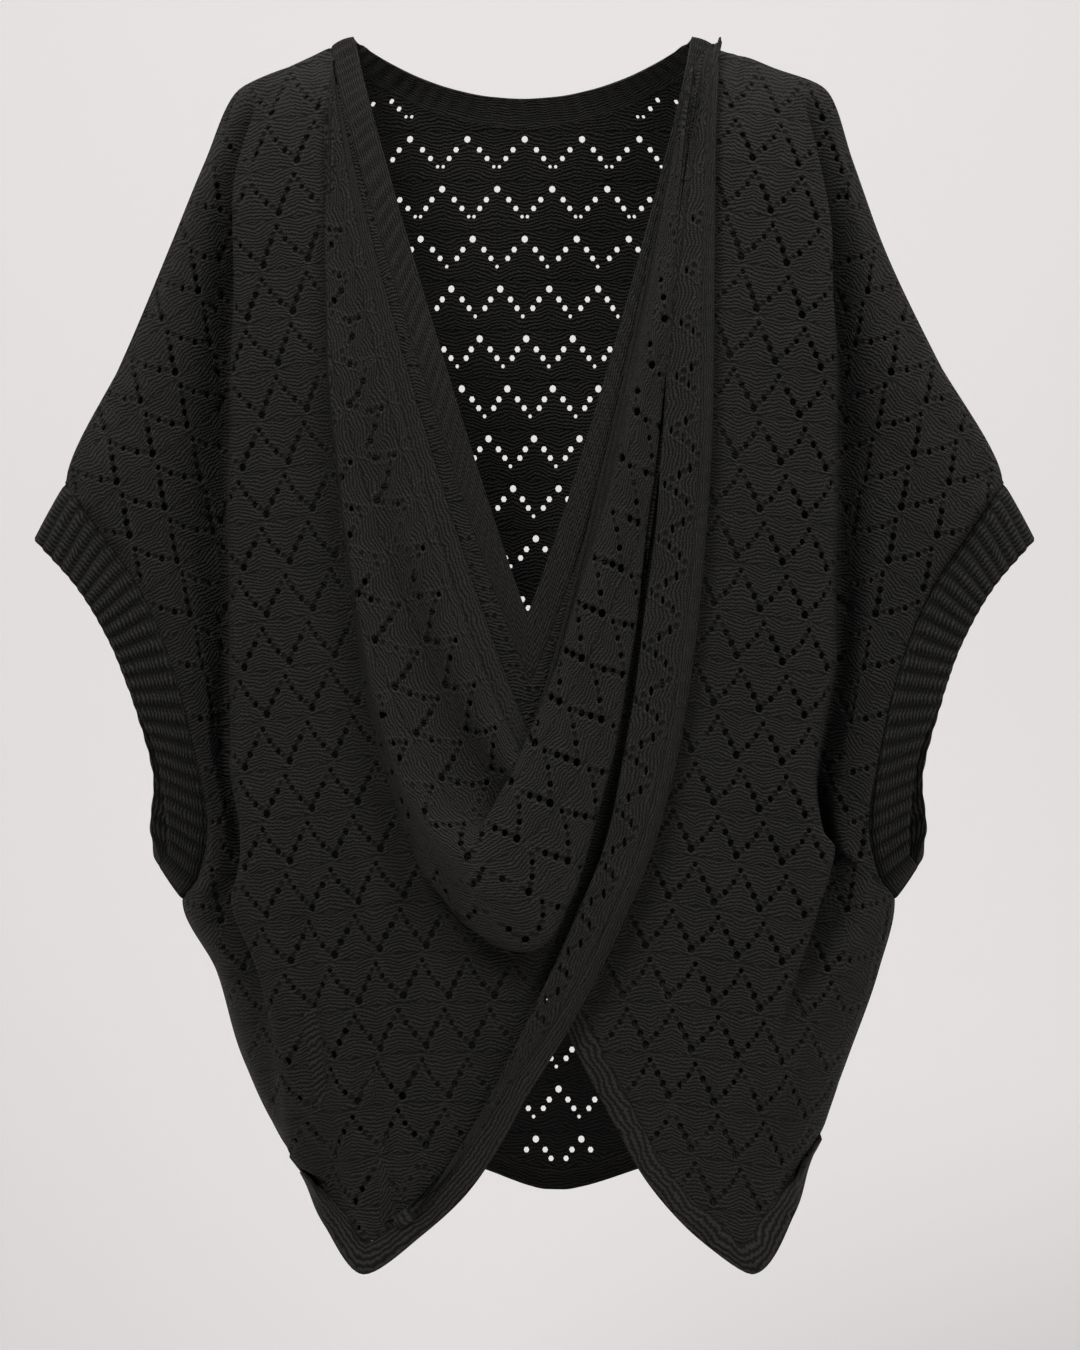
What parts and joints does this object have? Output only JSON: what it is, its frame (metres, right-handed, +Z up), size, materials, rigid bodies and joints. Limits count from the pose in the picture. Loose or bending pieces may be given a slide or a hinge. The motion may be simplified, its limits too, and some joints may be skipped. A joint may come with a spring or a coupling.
{
  "type": "knitted poncho sweater",
  "caption": "Hollow knitted lace poncho sweater with criss-cross fronts, draped cowl, deep V neck, ribbed short cuffs and pointed front hems, in near-black yarn",
  "frame": {"origin": "between the two neck points on the shoulder line, where the garment is held", "axes": "+X to the viewer's right, +Y to the back, +Z up; the front faces -Y"},
  "size_m": [0.7265, 0.2938, 0.886],
  "materials": {
    "lace_knit": "matte lace knit",
    "band_knit": "matte plain knit",
    "rib_knit": "matte rib knit"
  },
  "bodies": {
    "root": {"back_panel": "lace_knit", "back_hem_band": "band_knit", "right_front": "lace_knit", "right_hem_band": "band_knit", "left_front": "lace_knit", "left_hem_band": "band_knit", "cowl_band": "band_knit", "neck_band": "band_knit", "left_cuff": "rib_knit", "right_cuff": "rib_knit"}
  },
  "joints": []
}
